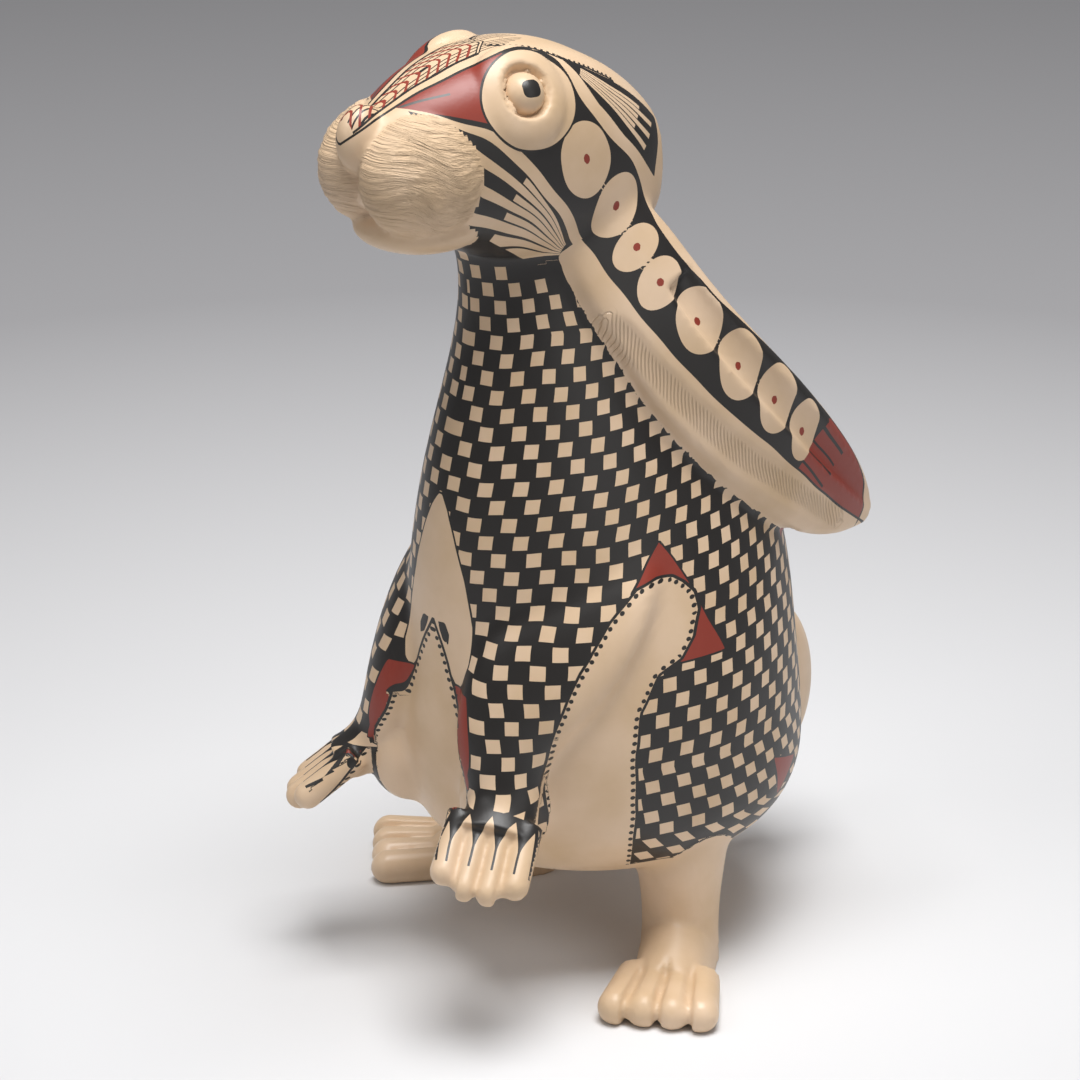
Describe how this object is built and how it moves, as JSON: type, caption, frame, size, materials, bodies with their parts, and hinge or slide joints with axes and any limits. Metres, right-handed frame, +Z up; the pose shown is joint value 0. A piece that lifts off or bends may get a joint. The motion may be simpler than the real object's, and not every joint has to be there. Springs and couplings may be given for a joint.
{
  "type": "casas grandes effigy jar",
  "caption": "Hollow fired-clay effigy jar in the shape of a sitting hare with laid-back ears, burnished and painted with checks, that stands on flat soles.",
  "frame": {"origin": "on the ground, below the middle of the part's bounding box, with the hare's midline 4 mm to the +X side of it, because the right foot stands further out than the left", "axes": "+Z up, +X to the hare's left side, -Y the way the hare faces"},
  "size_m": [0.1872, 0.206, 0.3246],
  "materials": {
    "painted_clay": "satin",
    "bare_clay": "satin"
  },
  "bodies": {
    "root": {"vessel_base": "painted_clay", "vessel_wall": "painted_clay", "head_shell": "painted_clay", "eye_socket_left": "painted_clay", "eye_socket_right": "painted_clay", "eyeball_left": "painted_clay", "eyeball_right": "painted_clay", "ear_left": "painted_clay", "ear_right": "painted_clay", "foreleg_left": "painted_clay", "foreleg_right": "painted_clay", "cheek_left": "bare_clay", "cheek_right": "bare_clay", "nose": "bare_clay", "lower_lip": "bare_clay", "hind_leg_left": "bare_clay", "hind_leg_right": "bare_clay", "tail": "bare_clay"}
  },
  "joints": []
}
